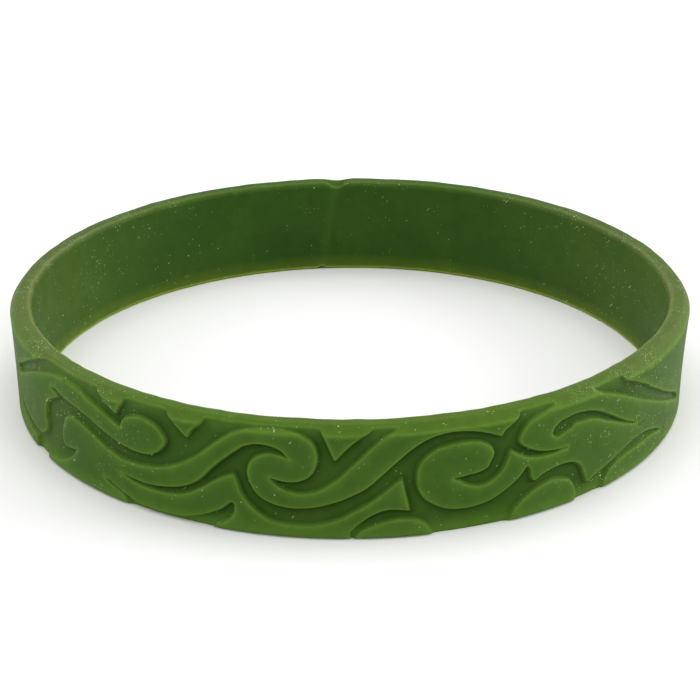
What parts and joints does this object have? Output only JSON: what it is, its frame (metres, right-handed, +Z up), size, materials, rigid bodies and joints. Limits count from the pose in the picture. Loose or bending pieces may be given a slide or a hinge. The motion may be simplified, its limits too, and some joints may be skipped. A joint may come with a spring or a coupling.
{
  "type": "moulded rubber wristband",
  "caption": "Closed rubber wristband, a plain smooth hoop with a raised scroll relief round the front half of its outer face, lying on its rim.",
  "frame": {"origin": "centre of the hoop in the plane of its lower rim", "axes": "+Z up along the hoop's axis, -Y towards the middle of the relief (the front), +X to the right of it"},
  "size_m": [0.07, 0.07, 0.011],
  "materials": {
    "rubber": "satin moulded silicone, grass green, slightly translucent at thin edges"
  },
  "bodies": {
    "root": {"band": "rubber"}
  },
  "joints": []
}
